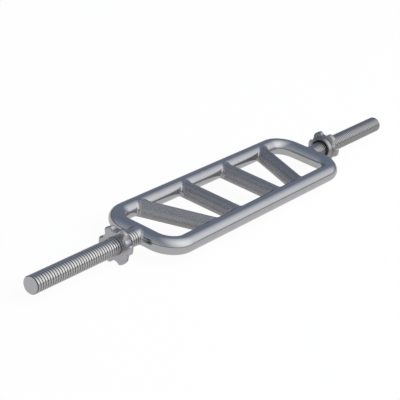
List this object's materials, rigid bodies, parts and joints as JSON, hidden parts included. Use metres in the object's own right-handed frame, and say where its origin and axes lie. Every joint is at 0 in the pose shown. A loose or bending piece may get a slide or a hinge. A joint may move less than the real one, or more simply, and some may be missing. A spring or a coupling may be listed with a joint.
{
  "type": "triceps bar",
  "caption": "Rounded rectangular tube frame with knurled cross grips, a threaded end at each side for weight plates and a lobed star collar with a rubber ring on each thread.",
  "frame": {"origin": "centre of the whole bar, on the axis of its threaded ends", "axes": "+X along the bar towards one threaded end, +Y across the frame from the front rail, where the outer grips come closest, to the back rail, +Z square to the plane of the frame"},
  "size_m": [0.864, 0.1354, 0.0534],
  "materials": {
    "frame_tube": "bright chrome plate",
    "knurled_grip": "diamond knurl under satin chrome plate",
    "weld": "chrome plate over a weld bead",
    "thread": "chrome plate over a cut thread",
    "collar": "chrome plate over a casting",
    "rubber": "matt black"
  },
  "bodies": {
    "frame": {"frame_half_left": "frame_tube", "frame_half_right": "frame_tube", "front_butt_weld": "weld", "back_butt_weld": "weld", "inner_grip_left": "knurled_grip", "inner_grip_right": "knurled_grip", "outer_grip_left": "knurled_grip", "outer_grip_right": "knurled_grip", "inner_grip_welds_left": "weld", "inner_grip_welds_right": "weld", "outer_grip_welds_left": "weld", "outer_grip_welds_right": "weld", "threaded_end_left": "thread", "threaded_end_right": "thread", "end_weld_left": "weld", "end_weld_right": "weld"},
    "left_collar_carrier": {"rubber_ring_left": "rubber"},
    "left_collar": {"star_collar_left": "collar"},
    "right_collar_carrier": {"rubber_ring_right": "rubber"},
    "right_collar": {"star_collar_right": "collar"}
  },
  "joints": [
    {"name": "left_collar_travel", "type": "slide", "parent": "frame", "child": "left_collar_carrier", "axis": [-1, 0, 0], "range_m": [-0.02116, 0.18067]},
    {"name": "left_collar_screw", "type": "hinge", "parent": "left_collar_carrier", "child": "left_collar", "pos_m": [-0.2538, 0, 0], "axis": [-1, 0, 0], "range_deg": [-1640, 14100]},
    {"name": "right_collar_travel", "type": "slide", "parent": "frame", "child": "right_collar_carrier", "axis": [1, 0, 0], "range_m": [-0.02116, 0.18067]},
    {"name": "right_collar_screw", "type": "hinge", "parent": "right_collar_carrier", "child": "right_collar", "pos_m": [0.2538, 0, 0], "axis": [1, 0, 0], "range_deg": [-1640, 14100]}
  ],
  "couplings": [
    {"joint": "left_collar_travel", "follows": "left_collar_screw", "m_per_rad": 0.00073211},
    {"joint": "right_collar_travel", "follows": "right_collar_screw", "m_per_rad": 0.00073211}
  ]
}
